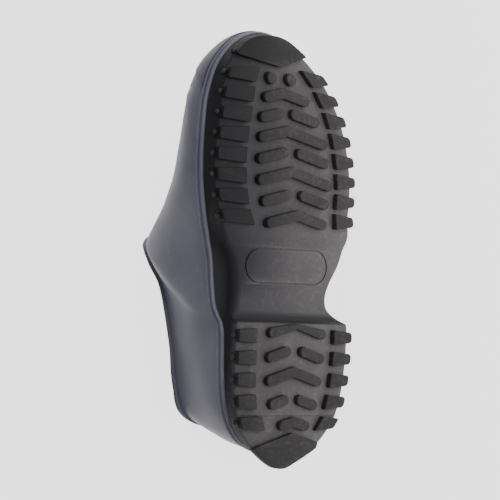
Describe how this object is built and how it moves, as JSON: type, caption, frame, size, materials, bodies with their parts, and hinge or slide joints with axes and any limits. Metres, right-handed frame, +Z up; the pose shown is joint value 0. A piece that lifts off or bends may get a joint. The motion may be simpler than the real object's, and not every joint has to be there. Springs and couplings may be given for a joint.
{
  "type": "rubber overshoe",
  "caption": "Low pull-on rubber overshoe for the left foot, empty and lying on its side, with a cleated sole, beaded edge and capped toe, worn over a shoe.",
  "frame": {"origin": "middle of the bounding box's underside, on the floor that the shoe lies on", "axes": "+X from heel to toe, +Z up from the floor, the cleated sole facing -Y and the collar +Y"},
  "size_m": [0.3018, 0.1566, 0.1309],
  "materials": {
    "sole_rubber": "matte, dark warm grey",
    "upper_rubber": "satin, bluish grey",
    "lining_cloth": "matte woven backing"
  },
  "bodies": {
    "root": {"outsole": "sole_rubber", "upper": "upper_rubber", "insole": "lining_cloth"}
  },
  "joints": []
}
